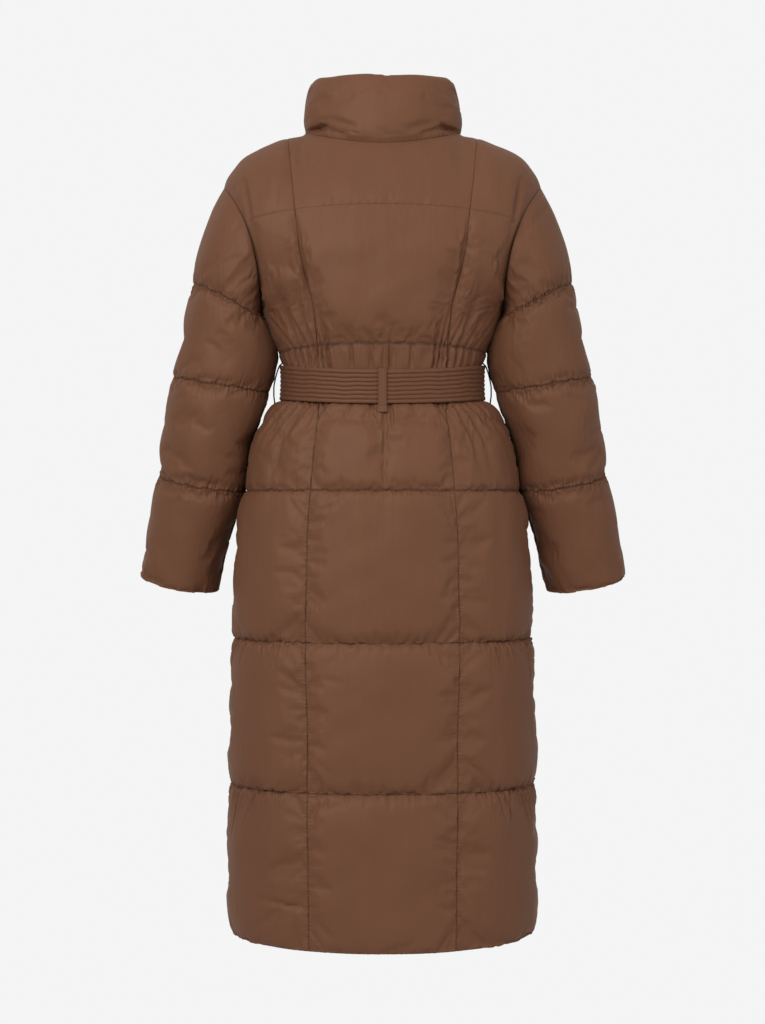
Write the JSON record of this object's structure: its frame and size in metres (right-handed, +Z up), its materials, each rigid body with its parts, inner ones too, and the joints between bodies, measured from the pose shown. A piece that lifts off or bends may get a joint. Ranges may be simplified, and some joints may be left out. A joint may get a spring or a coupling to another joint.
{
  "type": "long belted puffer coat",
  "caption": "Long quilted puffer coat with padded stand collar, set-in sleeves, princess seams and a tied waist belt, hollow as if worn.",
  "frame": {"origin": "middle of the neck opening, level with the side ends of the neck seam, where the wearer holds the coat up", "axes": "+Z up, -Y the way the wearer faces, +X the wearer's left"},
  "size_m": [0.7226, 0.3272, 1.2745],
  "materials": {
    "shell_cloth": "smooth matte brown down-proof cloth",
    "belt_cloth": "same brown cloth, topstitched",
    "loop_thread": "near-black thread cord"
  },
  "bodies": {
    "root": {"back_yoke_centre": "shell_cloth", "back_yoke_left": "shell_cloth", "back_yoke_right": "shell_cloth", "back_centre": "shell_cloth", "back_side_left": "shell_cloth", "back_side_right": "shell_cloth", "front_left": "shell_cloth", "front_right": "shell_cloth", "sleeve_left": "shell_cloth", "sleeve_right": "shell_cloth", "collar": "shell_cloth", "belt": "belt_cloth", "belt_knot": "belt_cloth", "belt_loop_back": "belt_cloth", "belt_tail_left": "belt_cloth", "belt_tail_right": "belt_cloth", "thread_loop_left": "loop_thread", "thread_loop_right": "loop_thread"}
  },
  "joints": []
}
